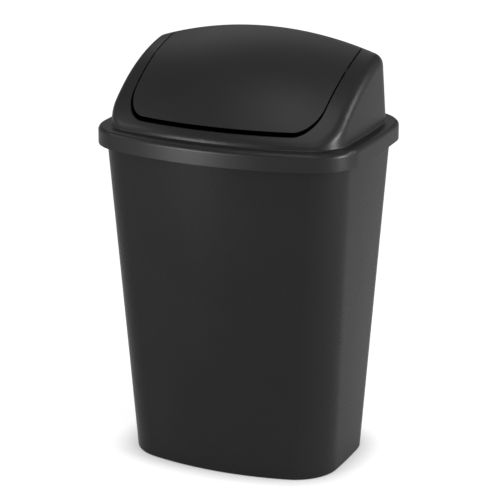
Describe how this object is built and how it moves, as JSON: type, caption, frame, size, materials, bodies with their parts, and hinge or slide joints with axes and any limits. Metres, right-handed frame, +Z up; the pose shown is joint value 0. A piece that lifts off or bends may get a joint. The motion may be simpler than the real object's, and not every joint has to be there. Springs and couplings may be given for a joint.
{
  "type": "swing-top kitchen bin",
  "caption": "Tapered plastic kitchen bin with a domed lid that lifts off its rim and a balanced flap that swings in the lid, both ways.",
  "frame": {"origin": "on the surface that the bin stands on, under the middle of its foot", "axes": "+Z up, the front with the long slope of the flap faces -Y, +X to the right seen from the front"},
  "size_m": [0.39, 0.3106, 0.6083],
  "materials": {
    "bin_plastic": "satin black moulding",
    "lid_plastic": "satin black moulding",
    "flap_plastic": "fine matt black moulding"
  },
  "bodies": {
    "bin": {"bin_body": "bin_plastic"},
    "lid": {"lid_hood": "lid_plastic"},
    "flap": {"swing_flap": "flap_plastic"}
  },
  "joints": [
    {"name": "lid_lift", "type": "slide", "parent": "bin", "child": "lid", "axis": [0, 0, 1], "range_m": [0, 0.15]},
    {"name": "flap_swing", "type": "hinge", "parent": "lid", "child": "flap", "pos_m": [0, 0.004, 0.56561], "axis": [1, 0, 0], "range_deg": [-70, 70]}
  ]
}
